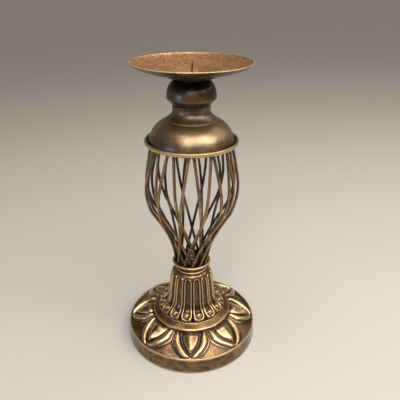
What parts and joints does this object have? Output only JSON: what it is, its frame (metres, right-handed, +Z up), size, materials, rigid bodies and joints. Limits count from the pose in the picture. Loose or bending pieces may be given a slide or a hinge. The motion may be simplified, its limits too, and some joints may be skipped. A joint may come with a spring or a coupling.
{
  "type": "torchere candle stand",
  "caption": "Table-top torchere candle stand in antique brass: spiked dish, round knob, bell, open cage of twisted wires, fluted pedestal and round lotus base.",
  "frame": {"origin": "middle of the underside, on the plane that the stand rests on", "axes": "+Z up along the axis of the stand, -Y towards the picture's camera, +X to its right"},
  "size_m": [0.143, 0.143, 0.3012],
  "materials": {
    "base_brass": "cast antique brass, dark patina in the hollows and rubbed bright on the petals",
    "pedestal_brass": "cast antique brass, dark in the flutes and rubbed bright on the ridges",
    "cup_brass": "satin antique brass with a rubbed golden edge",
    "wire_brass": "satin antique brass, rubbed on the outside",
    "bell_brass": "smooth spun antique brass, mottled gold and brown",
    "dark_brass": "smooth dark bronze patina",
    "dish_brass": "matt speckled copper brown inside with a rubbed golden rim",
    "spike_brass": "dark bronze patina",
    "steel": "plain zinc plated steel",
    "felt": "black felt"
  },
  "bodies": {
    "root": {"felt_pad": "felt", "lotus_base": "base_brass", "fluted_pedestal": "pedestal_brass", "pedestal_collar": "pedestal_brass", "cage_cup": "cup_brass", "cage_top_plate": "bell_brass", "bell_shoulder": "bell_brass", "knob": "dark_brass", "pricket_spike": "spike_brass", "drip_pan": "dish_brass", "base_washer": "steel", "base_nut": "steel", "cup_washer": "steel", "cup_nut": "steel", "lower_stud": "steel", "upper_washer": "steel", "upper_nut": "steel", "upper_stud": "steel", "cage_wire_a_01": "wire_brass", "cage_wire_a_02": "wire_brass", "cage_wire_a_03": "wire_brass", "cage_wire_a_04": "wire_brass", "cage_wire_a_05": "wire_brass", "cage_wire_a_06": "wire_brass", "cage_wire_a_07": "wire_brass", "cage_wire_a_08": "wire_brass", "cage_wire_a_09": "wire_brass", "cage_wire_a_10": "wire_brass", "cage_wire_a_11": "wire_brass", "cage_wire_a_12": "wire_brass", "cage_wire_b_01": "wire_brass", "cage_wire_b_02": "wire_brass", "cage_wire_b_03": "wire_brass", "cage_wire_b_04": "wire_brass", "cage_wire_b_05": "wire_brass", "cage_wire_b_06": "wire_brass", "cage_wire_b_07": "wire_brass", "cage_wire_b_08": "wire_brass", "cage_wire_b_09": "wire_brass", "cage_wire_b_10": "wire_brass", "cage_wire_b_11": "wire_brass", "cage_wire_b_12": "wire_brass"}
  },
  "joints": []
}
